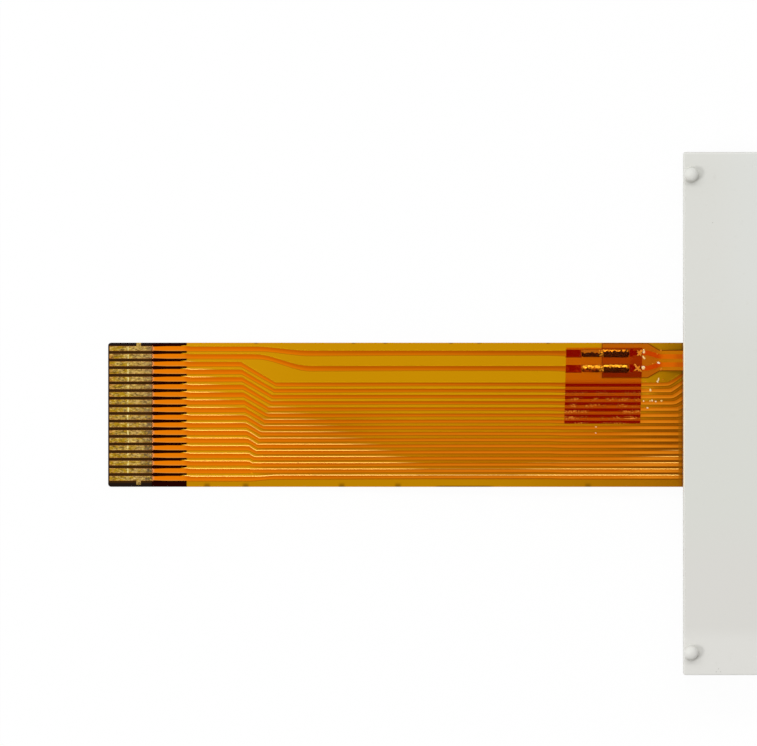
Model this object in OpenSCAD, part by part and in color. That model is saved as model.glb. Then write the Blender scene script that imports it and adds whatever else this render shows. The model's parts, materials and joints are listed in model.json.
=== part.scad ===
// Segment LCD module with an edge-lit backlight and a flexible printed circuit.
// It lies on its display face, so +Z points out of the back. The origin is the centre of
// the housing on the plane of the front polarizer, and the flex reaches out along -X.

/* [Backlight housing] */
// Length of the housing, along the flex
housing_l = 50; // [42:1:70]
// Width of the housing, across the flex
housing_w = 34.2; // [28:0.1:45]
// Thickness of the back wall
back_wall = 0.8; // [0.5:0.1:2]
// Wall beside the light guide
side_wall = 1.6; // [1.2:0.1:2.4]
// Lip that frames the glass
lip_wall = 0.6; // [0.4:0.05:0.9]
// Height of the lip's edge over the front of the front glass
lip_lift = 0.1; // [0:0.05:0.3]
// Radius of the upright corners
corner_r = 0.12; // [0.05:0.01:0.4]

/* [Locating posts] */
// Diameter of a post
post_d = 0.92; // [0.6:0.02:1.4]
// Height of a post with its domed top
post_h = 0.9; // [0.5:0.05:1.6]
// Height of the dome alone
post_dome = 0.16; // [0.05:0.01:0.25]
// Distance from the flank of a post to the end of the housing
post_end_gap = 0.04; // [0:0.01:1]
// Distance from the flank of a post to the long side of the housing
post_side_gap = 1.02; // [0.2:0.01:2]

/* [Display cell] */
// Thickness of each glass plate
glass_t = 0.7; // [0.4:0.05:1.1]
// Thickness of each polarizer
polarizer_t = 0.2; // [0.1:0.02:0.3]
// Gap between the two plates
cell_gap = 0.03; // [0.02:0.005:0.05]
// Thickness of the electrode layers
electrode_t = 0.008; // [0.004:0.001:0.01]
// Length of the front plate's ledge that carries the flex
ledge_l = 2.6; // [2.3:0.1:4]
// Clearance between glass and lip
glass_clear = 0.15; // [0.1:0.05:0.3]
// Margin of bare glass round the polarizers
polarizer_inset = 0.6; // [0.2:0.1:1.5]
// Width of the perimeter seal
seal_w = 1; // [0.6:0.1:1.6]
// Width of the filling port
port_w = 3; // [2:0.5:5]

/* [Digits] */
// Number of digits, an even number
digit_count = 4; // [2:2:4]
// Width of a digit
digit_w = 7.4; // [5:0.1:7.8]
// Height of a digit
digit_h = 15; // [10:0.5:20]
// Width of a segment
segment_w = 1.5; // [0.8:0.1:1.8]
// Gap between neighbouring segments
segment_gap = 0.16; // [0.1:0.02:0.3]
// Space between digits
digit_space = 2.2; // [1:0.1:2.6]
// Space in the middle, for the colon
colon_space = 4; // [3:0.1:4.4]
// Diameter of a colon dot
colon_d = 1.5; // [1:0.1:2]
// Number of common electrode bands
common_count = 4; // [2:1:4]
// Gap between the common bands
common_gap = 0.2; // [0.1:0.05:0.4]

/* [Backlight] */
// Thickness of the diffuser
diffuser_t = 0.1; // [0.05:0.01:0.2]
// Thickness of the light guide
guide_t = 1.8; // [1.7:0.1:3]
// Thickness of the reflector
reflector_t = 0.12; // [0.05:0.01:0.25]
// Air over the rear polarizer
stack_clear = 0.05; // [0.02:0.01:0.2]
// Clearance between the sheets and the walls round them
pocket_clear = 0.1; // [0.05:0.05:0.3]
// Width of the mounting tape
mount_tape_w = 0.8; // [0.4:0.1:0.9]
// Length of an LED body
led_l = 4; // [3:0.1:5]
// Depth of an LED body, in the direction it shines
led_d = 1.1; // [0.8:0.1:1.5]
// Height of an LED body
led_h = 1.6; // [1:0.1:1.7]
// Rim round an LED's window
led_rim = 0.2; // [0.15:0.01:0.3]
// Depth of an LED's window
led_window_d = 0.4; // [0.2:0.05:0.6]
// Distance between the two LEDs
led_spacing = 16; // [12:0.5:20]
// Gap between an LED and the light guide
led_gap = 0.05; // [0.02:0.01:0.2]

/* [Flex] */
// Number of contacts
contact_count = 18; // [14:1:18]
// Pitch of the contacts
contact_pitch = 0.5; // [0.45:0.01:0.6]
// Width of a contact
contact_w = 0.31; // [0.2:0.01:0.36]
// Length of the flex outside the housing
flex_l = 37.65; // [30:0.05:60]
// Film between the first contact and the flex's edge
edge_first = 0.23; // [0.1:0.005:0.6]
// Film between the last contact and the flex's edge
edge_last = 0.4; // [0.1:0.005:0.6]
// Radius of the corners at the contact end
tip_r = 0.2; // [0.05:0.05:0.4]
// Distance from the contacts to the flex's end
contact_setback = 0.09; // [0.02:0.01:0.3]
// Length of the window that bares the contacts
window_l = 2.87; // [2:0.01:4]
// Thickness of the base film
film_t = 0.03; // [0.02:0.005:0.05]
// Thickness of the copper
copper_t = 0.02; // [0.012:0.002:0.035]
// Thickness of the coverlay
coverlay_t = 0.03; // [0.02:0.005:0.05]
// Thickness of the gold plating
plating_t = 0.008; // [0.004:0.001:0.012]
// Width of the plating leads beside the outer contacts
plating_lead_w = 0.31; // [0.2:0.01:0.4]
// Distance from the flex's end to the middle of the plating leads
plating_lead_x = 2; // [1:0.05:2.4]
// Length of the stiffener
stiffener_l = 5.15; // [4:0.05:7]
// Thickness of the stiffener
stiffener_t = 0.2; // [0.1:0.02:0.3]
// Length of flex that lies level beside the housing
level_l = 9.5; // [9:0.1:14]

/* [Traces] */
// Pitch of the display traces after the fan
line_pitch = 0.405; // [0.36:0.005:0.42]
// Width of the display traces after the fan
line_w = 0.25; // [0.15:0.01:0.28]
// Step of the last display trace away from the flex's edge
line_step = 0.1; // [0:0.01:0.2]
// Distance from the flex's end to the first bend of the fan
fan_x = 8.7; // [7:0.05:12]
// Shift of the bend from one trace to the next
fan_shift = 0.045; // [0:0.005:0.08]
// Angle of the traces in the fan
fan_angle = 30; // [25:0.5:45]
// Pitch of the traces where they are bonded to the glass
bond_pitch = 0.5; // [0.44:0.01:0.52]
// Angle of the traces towards the bond
bond_angle = 31; // [25:0.5:45]
// Distance from the housing's end to the bond
bond_x = 1.4; // [1.2:0.05:1.5]
// Length of the bond
bond_l = 1.5; // [1:0.1:1.6]
// Thickness of the bond strip
bond_t = 0.02; // [0.01:0.005:0.04]
// Width of the two backlight traces
feed_w = 0.34; // [0.2:0.01:0.4]
// Distance from the flex's end to the bends of the backlight traces
feed_x = 9.6; // [9:0.1:14]
// Length of those bends
feed_bend_l = 3.7; // [1:0.1:4.5]

/* [Backlight tail] */
// Distance from the flex's first edge to the tail's middle
tail_inset = 1.17; // [1.15:0.01:1.4]
// Width of the tail's head
head_w = 2.27; // [1.8:0.01:2.28]
// Length of the tail's head
head_l = 3.02; // [2.6:0.02:4]
// Length of the tail's shoulders
shoulder_l = 0.78; // [0.4:0.02:1.2]
// Width of the tail's neck
neck_w = 1.37; // [1.2:0.01:1.6]
// Length of the neck outside the housing
neck_l = 1.52; // [1.2:0.02:2.5]
// Pitch of the two pads
pad_pitch = 1; // [0.8:0.01:1.1]
// Width of a pad
pad_w = 0.5; // [0.48:0.01:0.6]
// Length of a pad on the main flex
pad_l = 2.35; // [2:0.05:3]
// Pitch of the tail's traces in the neck
tail_trace_pitch = 0.53; // [0.45:0.01:0.7]
// Width of the tail's traces
tail_trace_w = 0.3; // [0.2:0.01:0.34]
// Length of the LED strip past each LED
strip_end = 3; // [0.5:0.1:4]
// Overlap of the strip on the light guide
strip_overlap = 1; // [0.6:0.1:1.6]

/* [Solder and tape] */
// Length of a solder joint
solder_l = 3.15; // [2:0.05:3.4]
// Width of a solder joint
solder_w = 0.46; // [0.3:0.01:0.48]
// Part of the solder joint that lies on the main flex
solder_on_flex = 1.34; // [0.8:0.02:1.6]
// Length of the insulating tape
tape_l = 4.98; // [4.4:0.02:6]
// Width of the insulating tape
tape_w = 4.97; // [3:0.01:6]
// Thickness of the insulating tape
tape_t = 0.06; // [0.03:0.005:0.1]
// Lean of the tape's cut ends
tape_lean = 1.6; // [-5:0.1:5]
// Tape past the upper solder joint
tape_margin = 0.15; // [0.05:0.01:0.3]
// Clearance under the tape where it passes over the joints
tape_clear = 0.01; // [0.005:0.005:0.05]

/* [Hidden] */
$fn = 48;
// Overlap of cutting shapes past the faces that they cut
past = 1;
// Clearance of the flex and the tail in their slots
slot_clear = 0.2;
// Smallest step between two points of a trace
least_step = 0.001;
// Straight pieces that stand for a bend of a flex or of a trace
bend_steps = 12;
// Traces that feed the backlight
feed_count = 2;
line_count = contact_count - feed_count;

// Levels, from the display face to the back
z_front_glass = polarizer_t;
z_cell = z_front_glass + glass_t;
z_rear_glass = z_cell + cell_gap;
z_rear_polarizer = z_rear_glass + glass_t;
z_shelf = z_rear_polarizer + polarizer_t + stack_clear;
z_guide = z_shelf + diffuser_t;
z_reflector = z_guide + guide_t;
z_wall = z_reflector + reflector_t;
z_back = z_wall + back_wall;
z_lip = z_front_glass + lip_lift;

// Places along the length
end_x = housing_l / 2;
glass_x0 = lip_wall + glass_clear - end_x;
glass_x1 = -lip_wall - glass_clear + end_x;
glass_w = housing_w - 2 * (lip_wall + glass_clear);
rear_x0 = glass_x0 + ledge_l;
pocket_x0 = side_wall - end_x;
pocket_x1 = end_x - side_wall;
pocket_w = housing_w - 2 * side_wall;
led_x0 = pocket_x0 + pocket_clear;
guide_x0 = led_x0 + led_d + led_gap;
guide_x1 = pocket_x1 - pocket_clear;
strip_x1 = guide_x0 + strip_overlap;
guide_w = pocket_w - 2 * pocket_clear;
post_x = end_x - post_end_gap - post_d / 2;
post_y = housing_w / 2 - post_side_gap - post_d / 2;

// Flex: its ends, its edges and the underside of its copper
tip_x = -end_x - flex_l;
bond_x0 = bond_x - end_x;
flex_x1 = bond_x0 + bond_l;
row_half = (contact_count - 1) * contact_pitch / 2;
flex_y1 = row_half + contact_w / 2 + edge_first;
flex_y0 = -row_half - contact_w / 2 - edge_last;
z_copper_bond = z_cell + bond_t;
z_copper_tip = stiffener_t + coverlay_t;
bend_x0 = tip_x + stiffener_l + past;
bend_x1 = -end_x - level_l;
z_film_top = z_copper_bond + copper_t + film_t;

// Backlight tail: its head, its neck and the strip inside the housing
tail_y = flex_y1 - tail_inset;
tail_t = film_t + copper_t + coverlay_t;
neck_x0 = -end_x - neck_l;
head_x1 = neck_x0 - shoulder_l;
head_x0 = head_x1 - head_l;
z_tail_top = z_film_top + tail_t;
z_strip = z_guide - tail_t;
lane_near = led_x0 + tail_trace_w;
lane_far = strip_x1 - tail_trace_w;
led_mid_x = led_x0 + led_d / 2;
led_pin = led_l / 2 - led_rim;
strip_l = led_spacing + led_l + 2 * strip_end;
solder_x0 = head_x0 - solder_on_flex;
solder_r = solder_w / 2;

// A box from its lowest to its highest corner
module block(low, high) {
  translate(low) cube(high - low);
}

// A rectangle with round corners, centred
module rounded(size, r) {
  square([size[0] - 2 * r, size[1]], center = true);
  square([size[0], size[1] - 2 * r], center = true);
  for (sx = [-1, 1], sy = [-1, 1]) {
    translate([sx * (size[0] / 2 - r), sy * (size[1] / 2 - r)]) circle(r);
  }
}

// A trace: its centre line is widened to both sides, with mitred bends
function along(v) = v / norm(v);
function side(v) = [-v[1], v[0]];
function spread(path) =
  [for (i = [0:len(path) - 1]) if (i == 0 || norm(path[i] - path[i - 1]) > least_step) path[i]];
function heading(path, i) =
  let (k = min(max(i, 1), len(path) - 1)) side(along([for (a = [0, 1]) path[k][a] - path[k - 1][a]]));
function beside(path, i, w) =
  let (a = heading(path, i), b = heading(path, i + 1), p = [path[i][0], path[i][1]])
  p + w / 2 * (a + b) / (1 + a * b);
function ribbon(path) = let (n = len(path) - 1) concat(
  [for (i = [0:n]) beside(path, i, path[i][2])],
  [for (i = [n:-1:0]) beside(path, i, -path[i][2])]
);
module trace(path) {
  polygon(ribbon(spread(path)));
}

// A bent sheet: heights along X, swept across the width
function ease(t) = let (u = min(max(t, 0), 1)) u * u * (3 - 2 * u);
function flex_z(x) =
  z_copper_tip + (z_copper_bond - z_copper_tip) * ease((x - bend_x0) / (bend_x1 - bend_x0));
function tail_z(x) =
  z_film_top + (z_strip - z_film_top) * ease((x - neck_x0) / (led_x0 - neck_x0));
function stations(x0, x1, b0, b1) = concat(
  [x0],
  [for (i = [0:bend_steps]) let (x = b0 + (b1 - b0) * i / bend_steps) if (x > x0 && x < x1) x],
  [x1]
);
module swept(low_edge, high_edge) {
  turned = [for (i = [len(high_edge) - 1:-1:0]) high_edge[i]];
  rotate([90, 0, 0])
    linear_extrude(2 * housing_w, center = true)
      polygon(concat(low_edge, turned));
}
module flex_sheet(low, high, x0 = tip_x, x1 = flex_x1) {
  xs = stations(x0, x1, bend_x0, bend_x1);
  swept([for (x = xs) [x, flex_z(x) + low]], [for (x = xs) [x, flex_z(x) + high]]);
}
module tail_sheet(low, high) {
  xs = stations(head_x0, strip_x1, neck_x0, led_x0);
  swept([for (x = xs) [x, tail_z(x) + low]], [for (x = xs) [x, tail_z(x) + high]]);
}
module upright() {
  translate([0, 0, -past]) linear_extrude(z_back + 2 * past) children();
}

// Display cell

module front_polarizer() {
  color([0.45, 0.47, 0.44])
    block(
      [rear_x0 + polarizer_inset, polarizer_inset - glass_w / 2, 0],
      [glass_x1 - polarizer_inset, glass_w / 2 - polarizer_inset, polarizer_t]
    );
}

module front_glass() {
  color([0.82, 0.9, 0.88])
    block([glass_x0, -glass_w / 2, z_front_glass], [glass_x1, glass_w / 2, z_cell]);
}

module rear_glass() {
  color([0.82, 0.9, 0.88])
    block([rear_x0, -glass_w / 2, z_rear_glass], [glass_x1, glass_w / 2, z_rear_polarizer]);
}

// It is smaller than the front one, because the mounting tape holds the glass all round it
module rear_polarizer() {
  color([0.45, 0.47, 0.44])
    block(
      [rear_x0 + polarizer_inset, -guide_w / 2, z_rear_polarizer],
      [guide_x1, guide_w / 2, z_rear_polarizer + polarizer_t]
    );
}

module seal_opening() {
  block([glass_x1 - seal_w, -port_w / 2, z_cell], [glass_x1, port_w / 2, z_rear_glass]);
}

module seal_inside() {
  block(
    [rear_x0 + seal_w, seal_w - glass_w / 2, z_cell],
    [glass_x1 - seal_w, glass_w / 2 - seal_w, z_rear_glass]
  );
}

module perimeter_seal() {
  color([0.75, 0.72, 0.6])
    difference() {
      block([rear_x0, -glass_w / 2, z_cell], [glass_x1, glass_w / 2, z_rear_glass]);
      seal_inside();
      seal_opening();
    }
}

// The plug fills the port and swells out over the edges of the two plates
module port_plug() {
  swell = glass_clear / 2;
  color([0.85, 0.82, 0.7]) {
    seal_opening();
    block(
      [glass_x1, -port_w / 2, z_cell - glass_t / 2],
      [glass_x1 + swell, port_w / 2, z_rear_glass + glass_t / 2]
    );
  }
}

// One bar of a digit, pointed at both ends
module bar(l) {
  h = segment_w / 2;
  polygon([[0, 0], [h, h], [l - h, h], [l, 0], [l - h, -h], [h, -h]]);
}

module digit() {
  across = digit_w - segment_w;
  up = (digit_h - segment_w) / 2;
  for (row = [-1, 0, 1]) {
    translate([segment_gap - across / 2, row * up]) bar(across - 2 * segment_gap);
  }
  for (sx = [-1, 1], row = [-1, 0]) {
    translate([sx * across / 2, row * up + segment_gap]) rotate(90) bar(up - 2 * segment_gap);
  }
}

module digit_row() {
  half = digit_count / 2;
  view_x = (rear_x0 + glass_x1) / 2;
  translate([view_x, 0]) {
    for (sx = [-1, 1], i = [0:half - 1]) {
      translate([sx * (colon_space / 2 + digit_w / 2 + i * (digit_w + digit_space)), 0]) digit();
    }
    for (sy = [-1, 1]) {
      translate([0, sy * digit_h / 6]) circle(d = colon_d);
    }
  }
}

module segment_electrodes() {
  color([0.25, 0.27, 0.26])
    translate([0, 0, z_cell]) linear_extrude(electrode_t) digit_row();
}

// Bands on the rear plate that the segments of each row share
module common_electrodes() {
  band = (digit_h - (common_count - 1) * common_gap) / common_count;
  row_l = digit_count * digit_w + (digit_count - 2) * digit_space + colon_space;
  view_x = (rear_x0 + glass_x1) / 2;
  color([0.7, 0.75, 0.72])
    for (i = [0:common_count - 1]) {
      translate([view_x - row_l / 2, i * (band + common_gap) - digit_h / 2, z_rear_glass - electrode_t])
        cube([row_l, band, electrode_t]);
    }
}

module liquid_crystal() {
  color([0.78, 0.82, 0.74])
    difference() {
      seal_inside();
      segment_electrodes();
      common_electrodes();
    }
}

// Backlight

// Adhesive on three sides: the fourth is where the LED strip lies
module mounting_tape() {
  tape_x0 = strip_x1 + pocket_clear;
  edge_x1 = min(glass_x1, pocket_x1 + mount_tape_w);
  edge_y = min(glass_w / 2, pocket_w / 2 + mount_tape_w);
  color([0.93, 0.93, 0.9])
    difference() {
      block([tape_x0, -edge_y, z_rear_polarizer], [edge_x1, edge_y, z_shelf]);
      block(
        [tape_x0 - past, -pocket_w / 2, z_rear_polarizer - past],
        [pocket_x1, pocket_w / 2, z_shelf + past]
      );
    }
}

module diffuser_sheet() {
  color([0.95, 0.95, 0.93])
    block(
      [strip_x1 + pocket_clear, -guide_w / 2, z_shelf],
      [guide_x1, guide_w / 2, z_guide]
    );
}

module light_guide() {
  color([0.88, 0.93, 0.95])
    block([guide_x0, -guide_w / 2, z_guide], [guide_x1, guide_w / 2, z_reflector]);
}

module reflector_sheet() {
  color([0.97, 0.97, 0.97])
    block([led_x0, -guide_w / 2, z_reflector], [guide_x1, guide_w / 2, z_wall]);
}

// A post is turned: a shank with a domed top
module post() {
  r = post_d / 2;
  dome_r = (r * r + post_dome * post_dome) / (2 * post_dome);
  rotate_extrude()
    intersection() {
      translate([0, -back_wall / 2]) square([r, post_h + back_wall / 2]);
      translate([0, post_h - dome_r]) circle(dome_r, $fn = 4 * $fn);
    }
}

// Tray with a stepped opening: the glass sits in the lip, the light guide behind the shelf
module backlight_housing() {
  color([0.86, 0.86, 0.83]) {
    difference() {
      translate([0, 0, z_lip]) linear_extrude(z_back - z_lip) rounded([housing_l, housing_w], corner_r);
      block(
        [lip_wall - end_x, lip_wall - housing_w / 2, z_lip - past],
        [end_x - lip_wall, housing_w / 2 - lip_wall, z_shelf]
      );
      block([pocket_x0, -pocket_w / 2, z_lip - past], [pocket_x1, pocket_w / 2, z_wall]);
      block(
        [-end_x - past, flex_y0 - slot_clear, z_lip - past],
        [lip_wall - end_x, flex_y1 + slot_clear, z_film_top + slot_clear]
      );
      block(
        [-end_x - past, tail_y - neck_w / 2 - slot_clear, z_lip - past],
        [pocket_x0 + past, tail_y + neck_w / 2 + slot_clear, z_guide + slot_clear]
      );
    }
    for (sx = [-1, 1], sy = [-1, 1]) {
      translate([sx * post_x, sy * post_y, z_back]) post();
    }
  }
}

module led_window(mid_y) {
  block(
    [led_x0 + led_d - led_window_d, mid_y - led_l / 2 + led_rim, z_guide + led_rim],
    [led_x0 + led_d, mid_y + led_l / 2 - led_rim, z_guide + led_h - led_rim]
  );
}

module led_body(mid_y) {
  color([0.95, 0.94, 0.9])
    difference() {
      block([led_x0, mid_y - led_l / 2, z_guide], [led_x0 + led_d, mid_y + led_l / 2, z_guide + led_h]);
      led_window(mid_y);
    }
}

module led_phosphor(mid_y) {
  color([0.95, 0.85, 0.3]) led_window(mid_y);
}

// Backlight tail

module tail_outline() {
  polygon([
    [head_x0, tail_y - head_w / 2], [head_x1, tail_y - head_w / 2],
    [neck_x0, tail_y - neck_w / 2], [led_x0, tail_y - neck_w / 2],
    [led_x0, -strip_l / 2], [strip_x1, -strip_l / 2],
    [strip_x1, strip_l / 2], [led_x0, strip_l / 2],
    [led_x0, tail_y + neck_w / 2], [neck_x0, tail_y + neck_w / 2],
    [head_x1, tail_y + head_w / 2], [head_x0, tail_y + head_w / 2]
  ]);
}

// Each feed runs from its pad through the neck to the far pin of its LED
module tail_feed(up) {
  pad_y = tail_y + up * pad_pitch / 2;
  neck_y = tail_y + up * tail_trace_pitch / 2;
  pin_y = up * (led_spacing / 2 + led_pin);
  trace([[head_x0, pad_y, pad_w], [solder_x0 + solder_l + solder_r, pad_y, pad_w]]);
  trace([
    [head_x0, pad_y, tail_trace_w], [head_x1, pad_y, tail_trace_w], [neck_x0, neck_y, tail_trace_w],
    [lane_near, neck_y, tail_trace_w], [lane_near, pin_y, tail_trace_w], [led_mid_x, pin_y, tail_trace_w]
  ]);
}

// The link joins the near pins of the two LEDs
module tail_link() {
  pin_y = led_spacing / 2 - led_pin;
  trace([
    [led_mid_x, pin_y, tail_trace_w], [lane_far, pin_y, tail_trace_w],
    [lane_far, -pin_y, tail_trace_w], [led_mid_x, -pin_y, tail_trace_w]
  ]);
}

module tail_pattern() {
  tail_feed(1);
  tail_feed(-1);
  tail_link();
}

module led_flex_film() {
  color([0.75, 0.5, 0.06])
    intersection() {
      tail_sheet(0, film_t);
      upright() tail_outline();
    }
}

module led_flex_copper() {
  color([0.82, 0.42, 0.05])
    intersection() {
      tail_sheet(film_t, film_t + copper_t);
      upright() tail_pattern();
    }
}

module led_flex_coverlay() {
  color([0.76, 0.52, 0.08])
    difference() {
      intersection() {
        tail_sheet(film_t, tail_t);
        upright() tail_outline();
      }
      intersection() {
        tail_sheet(film_t - past, film_t + copper_t);
        upright() tail_pattern();
      }
      for (up = [-1, 1]) {
        joint_window(up);
      }
    }
}

// Main flex

function contact_y(i) = row_half - i * contact_pitch;
function line_y(k) = contact_y(contact_count - 1) + line_step + (line_count - 1 - k) * line_pitch;
function bond_y(k) = line_y(line_count - 1) + (line_count - 1 - k) * bond_pitch;
contact_x0 = tip_x + contact_setback;

// A display trace: contact, fan to the finer pitch, fan to the bond
module line(k) {
  near_y = contact_y(k + feed_count);
  mid_y = line_y(k);
  far_y = bond_y(k);
  fan_x0 = tip_x + fan_x + k * fan_shift;
  fan_x1 = fan_x0 + abs(near_y - mid_y) / tan(fan_angle);
  rise_x0 = bond_x0 - abs(far_y - mid_y) / tan(bond_angle);
  trace([
    [contact_x0, near_y, contact_w], [fan_x0, near_y, contact_w], [fan_x1, mid_y, line_w],
    [rise_x0, mid_y, line_w], [bond_x0, far_y, line_w], [flex_x1, far_y, line_w]
  ]);
}

// A backlight trace: contact, smooth bend, pad under the solder
module feed(i) {
  pad_y = tail_y + (0.5 - i) * pad_pitch;
  pad_x1 = head_x0;
  pad_x0 = pad_x1 - pad_l;
  bend = [for (j = [0:bend_steps]) let (t = j / bend_steps, part = ease(t)) [
    tip_x + feed_x + t * feed_bend_l,
    contact_y(i) + (pad_y - contact_y(i)) * part,
    contact_w + (feed_w - contact_w) * part
  ]];
  trace(concat([[contact_x0, contact_y(i), contact_w]], bend, [[pad_x1, pad_y, feed_w]]));
  trace([[pad_x0, pad_y, pad_w], [pad_x1, pad_y, pad_w]]);
}

module flex_pattern() {
  for (i = [0:feed_count - 1]) {
    feed(i);
  }
  for (k = [0:line_count - 1]) {
    line(k);
  }
}

module flex_outline(x1) {
  difference() {
    translate([(tip_x + x1 + tip_r) / 2, (flex_y0 + flex_y1) / 2])
      rounded([x1 - tip_x + tip_r, flex_y1 - flex_y0], tip_r);
    translate([x1, flex_y0 - past]) square([tip_r + past, flex_y1 - flex_y0 + 2 * past]);
  }
}

// The opening through which the solder reaches its pads
module joint_window(up) {
  half = solder_r + tape_clear;
  mid_y = tail_y + up * pad_pitch / 2;
  block(
    [solder_x0 - tape_clear, mid_y - half, z_copper_bond + copper_t],
    [solder_x0 + solder_l + tape_clear, mid_y + half, z_tail_top + past]
  );
}

module flex_base_film() {
  color([0.75, 0.53, 0.02])
    difference() {
      intersection() {
        flex_sheet(0, copper_t + film_t, tip_x + window_l);
        upright() flex_outline(flex_x1);
      }
      intersection() {
        flex_sheet(-past, copper_t);
        upright() flex_pattern();
      }
      for (up = [-1, 1]) {
        intersection() {
          joint_window(up);
          block([solder_x0 - past, flex_y0, 0], [head_x0, flex_y1, z_back]);
        }
      }
    }
}

module flex_copper() {
  color([0.89, 0.45, 0.02])
    intersection() {
      flex_sheet(0, copper_t);
      upright() flex_pattern();
    }
}

// Plating lies on the bared contacts and on the two leads that fed the plating current
module contact_plating() {
  lead_x0 = tip_x + plating_lead_x - plating_lead_w / 2;
  color([0.7, 0.57, 0.25])
    translate([0, 0, z_copper_tip + copper_t])
      linear_extrude(plating_t)
        for (i = [0:contact_count - 1]) {
          translate([contact_x0, contact_y(i) - contact_w / 2])
            square([window_l - contact_setback, contact_w]);
        }
  color([0.7, 0.57, 0.25])
    translate([0, 0, z_copper_tip])
      linear_extrude(copper_t + plating_t) {
        translate([lead_x0, contact_y(0) + contact_w / 2]) square([plating_lead_w, edge_first]);
        translate([lead_x0, flex_y0]) square([plating_lead_w, edge_last]);
      }
}

module flex_coverlay() {
  color([0.73, 0.5, 0.02])
    intersection() {
      flex_sheet(-coverlay_t, 0, tip_x, lip_wall - end_x);
      upright() flex_outline(lip_wall - end_x);
    }
}

module flex_stiffener() {
  color([0.07, 0.06, 0.05])
    linear_extrude(stiffener_t) flex_outline(tip_x + stiffener_l);
}

module bond_strip() {
  color([0.6, 0.55, 0.4])
    block([bond_x0, flex_y0, z_cell], [flex_x1, flex_y1, z_cell + bond_t]);
}

// A bead of resin fills the gap between the flex and the edge of the rear plate
module ledge_sealant() {
  bead_h = glass_t / 2;
  color([0.8, 0.8, 0.75])
    translate([0, (flex_y0 + flex_y1) / 2, 0])
      rotate([90, 0, 0])
        linear_extrude(flex_y1 - flex_y0, center = true)
          polygon([
            [flex_x1, z_cell], [rear_x0, z_cell], [rear_x0, z_cell + bead_h],
            [flex_x1, z_cell + bond_t + copper_t + film_t]
          ]);
}

// Solder joints and the tape over them

// A drop drawn out along X, round at both ends
module drop(up, grow) {
  r = solder_r + grow;
  translate([solder_x0 + solder_r, tail_y + up * pad_pitch / 2, z_film_top]) {
    rotate([0, 90, 0]) cylinder(r = r, h = solder_l - solder_w);
    sphere(r);
    translate([solder_l - solder_w, 0, 0]) sphere(r);
  }
}

module solder_joint(up) {
  color([0.78, 0.77, 0.72])
    difference() {
      drop(up, 0);
      block(
        [solder_x0 - past, flex_y0, -past],
        [head_x0, flex_y1, z_copper_bond + copper_t]
      );
      block(
        [head_x0, flex_y0, -past],
        [neck_x0, flex_y1, z_film_top + film_t + copper_t]
      );
    }
}

// What the tape lies over, grown by a margin: the tail's head and both joints
module tape_form(grow) {
  block(
    [head_x0 - grow, tail_y - head_w / 2 - grow, -past],
    [neck_x0, tail_y + head_w / 2 + grow, z_tail_top + grow]
  );
  drop(1, grow);
  drop(-1, grow);
}

module tape_outline() {
  top_y = tail_y + pad_pitch / 2 + solder_r + tape_margin;
  lean = tan(tape_lean) * tape_w / 2;
  half = tape_l / 2;
  translate([head_x0, top_y - tape_w / 2])
    polygon([
      [-half - lean, -tape_w / 2], [half - lean, -tape_w / 2],
      [half + lean, tape_w / 2], [-half + lean, tape_w / 2]
    ]);
}

module insulating_tape() {
  color([0.6, 0.2, 0.02])
    difference() {
      intersection() {
        union() {
          block([tip_x, flex_y0, z_film_top], [-end_x, flex_y1, z_film_top + tape_t]);
          tape_form(tape_clear + tape_t);
        }
        translate([0, 0, z_film_top]) linear_extrude(past) tape_outline();
      }
      tape_form(tape_clear);
    }
}

front_polarizer();
front_glass();
segment_electrodes();
liquid_crystal();
perimeter_seal();
port_plug();
common_electrodes();
rear_glass();
rear_polarizer();
mounting_tape();
diffuser_sheet();
light_guide();
reflector_sheet();
backlight_housing();
led_body(led_spacing / 2);  // led_body_1
led_body(-led_spacing / 2);  // led_body_2
led_phosphor(led_spacing / 2);  // led_phosphor_1
led_phosphor(-led_spacing / 2);  // led_phosphor_2
led_flex_film();
led_flex_copper();
led_flex_coverlay();
flex_base_film();
flex_copper();
contact_plating();
flex_coverlay();
flex_stiffener();
bond_strip();
ledge_sealant();
solder_joint(1);  // solder_joint_1
solder_joint(-1);  // solder_joint_2
insulating_tape();
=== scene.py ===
"""A segment display module lying on its face: its white back and its amber flex, laid out flat."""
import json
import math

import bpy
from mathutils import Matrix, Vector, noise
from mathutils.bvhtree import BVHTree


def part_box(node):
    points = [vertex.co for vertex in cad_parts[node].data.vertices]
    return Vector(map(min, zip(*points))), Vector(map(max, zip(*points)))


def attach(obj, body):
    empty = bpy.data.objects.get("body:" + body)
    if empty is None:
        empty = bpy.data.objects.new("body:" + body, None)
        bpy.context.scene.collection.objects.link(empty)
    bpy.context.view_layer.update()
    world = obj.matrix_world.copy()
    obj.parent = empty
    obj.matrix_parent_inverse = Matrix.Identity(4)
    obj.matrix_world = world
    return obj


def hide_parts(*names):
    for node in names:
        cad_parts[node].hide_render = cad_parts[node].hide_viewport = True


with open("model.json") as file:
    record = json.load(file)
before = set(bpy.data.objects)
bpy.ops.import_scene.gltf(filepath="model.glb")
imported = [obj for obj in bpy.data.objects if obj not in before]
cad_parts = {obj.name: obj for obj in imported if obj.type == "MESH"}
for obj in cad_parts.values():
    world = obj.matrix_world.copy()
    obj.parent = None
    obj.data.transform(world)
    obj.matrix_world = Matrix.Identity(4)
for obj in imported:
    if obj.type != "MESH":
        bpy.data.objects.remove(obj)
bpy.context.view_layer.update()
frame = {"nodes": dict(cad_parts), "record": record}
bpy.ops.object.select_all(action="DESELECT")


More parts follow.
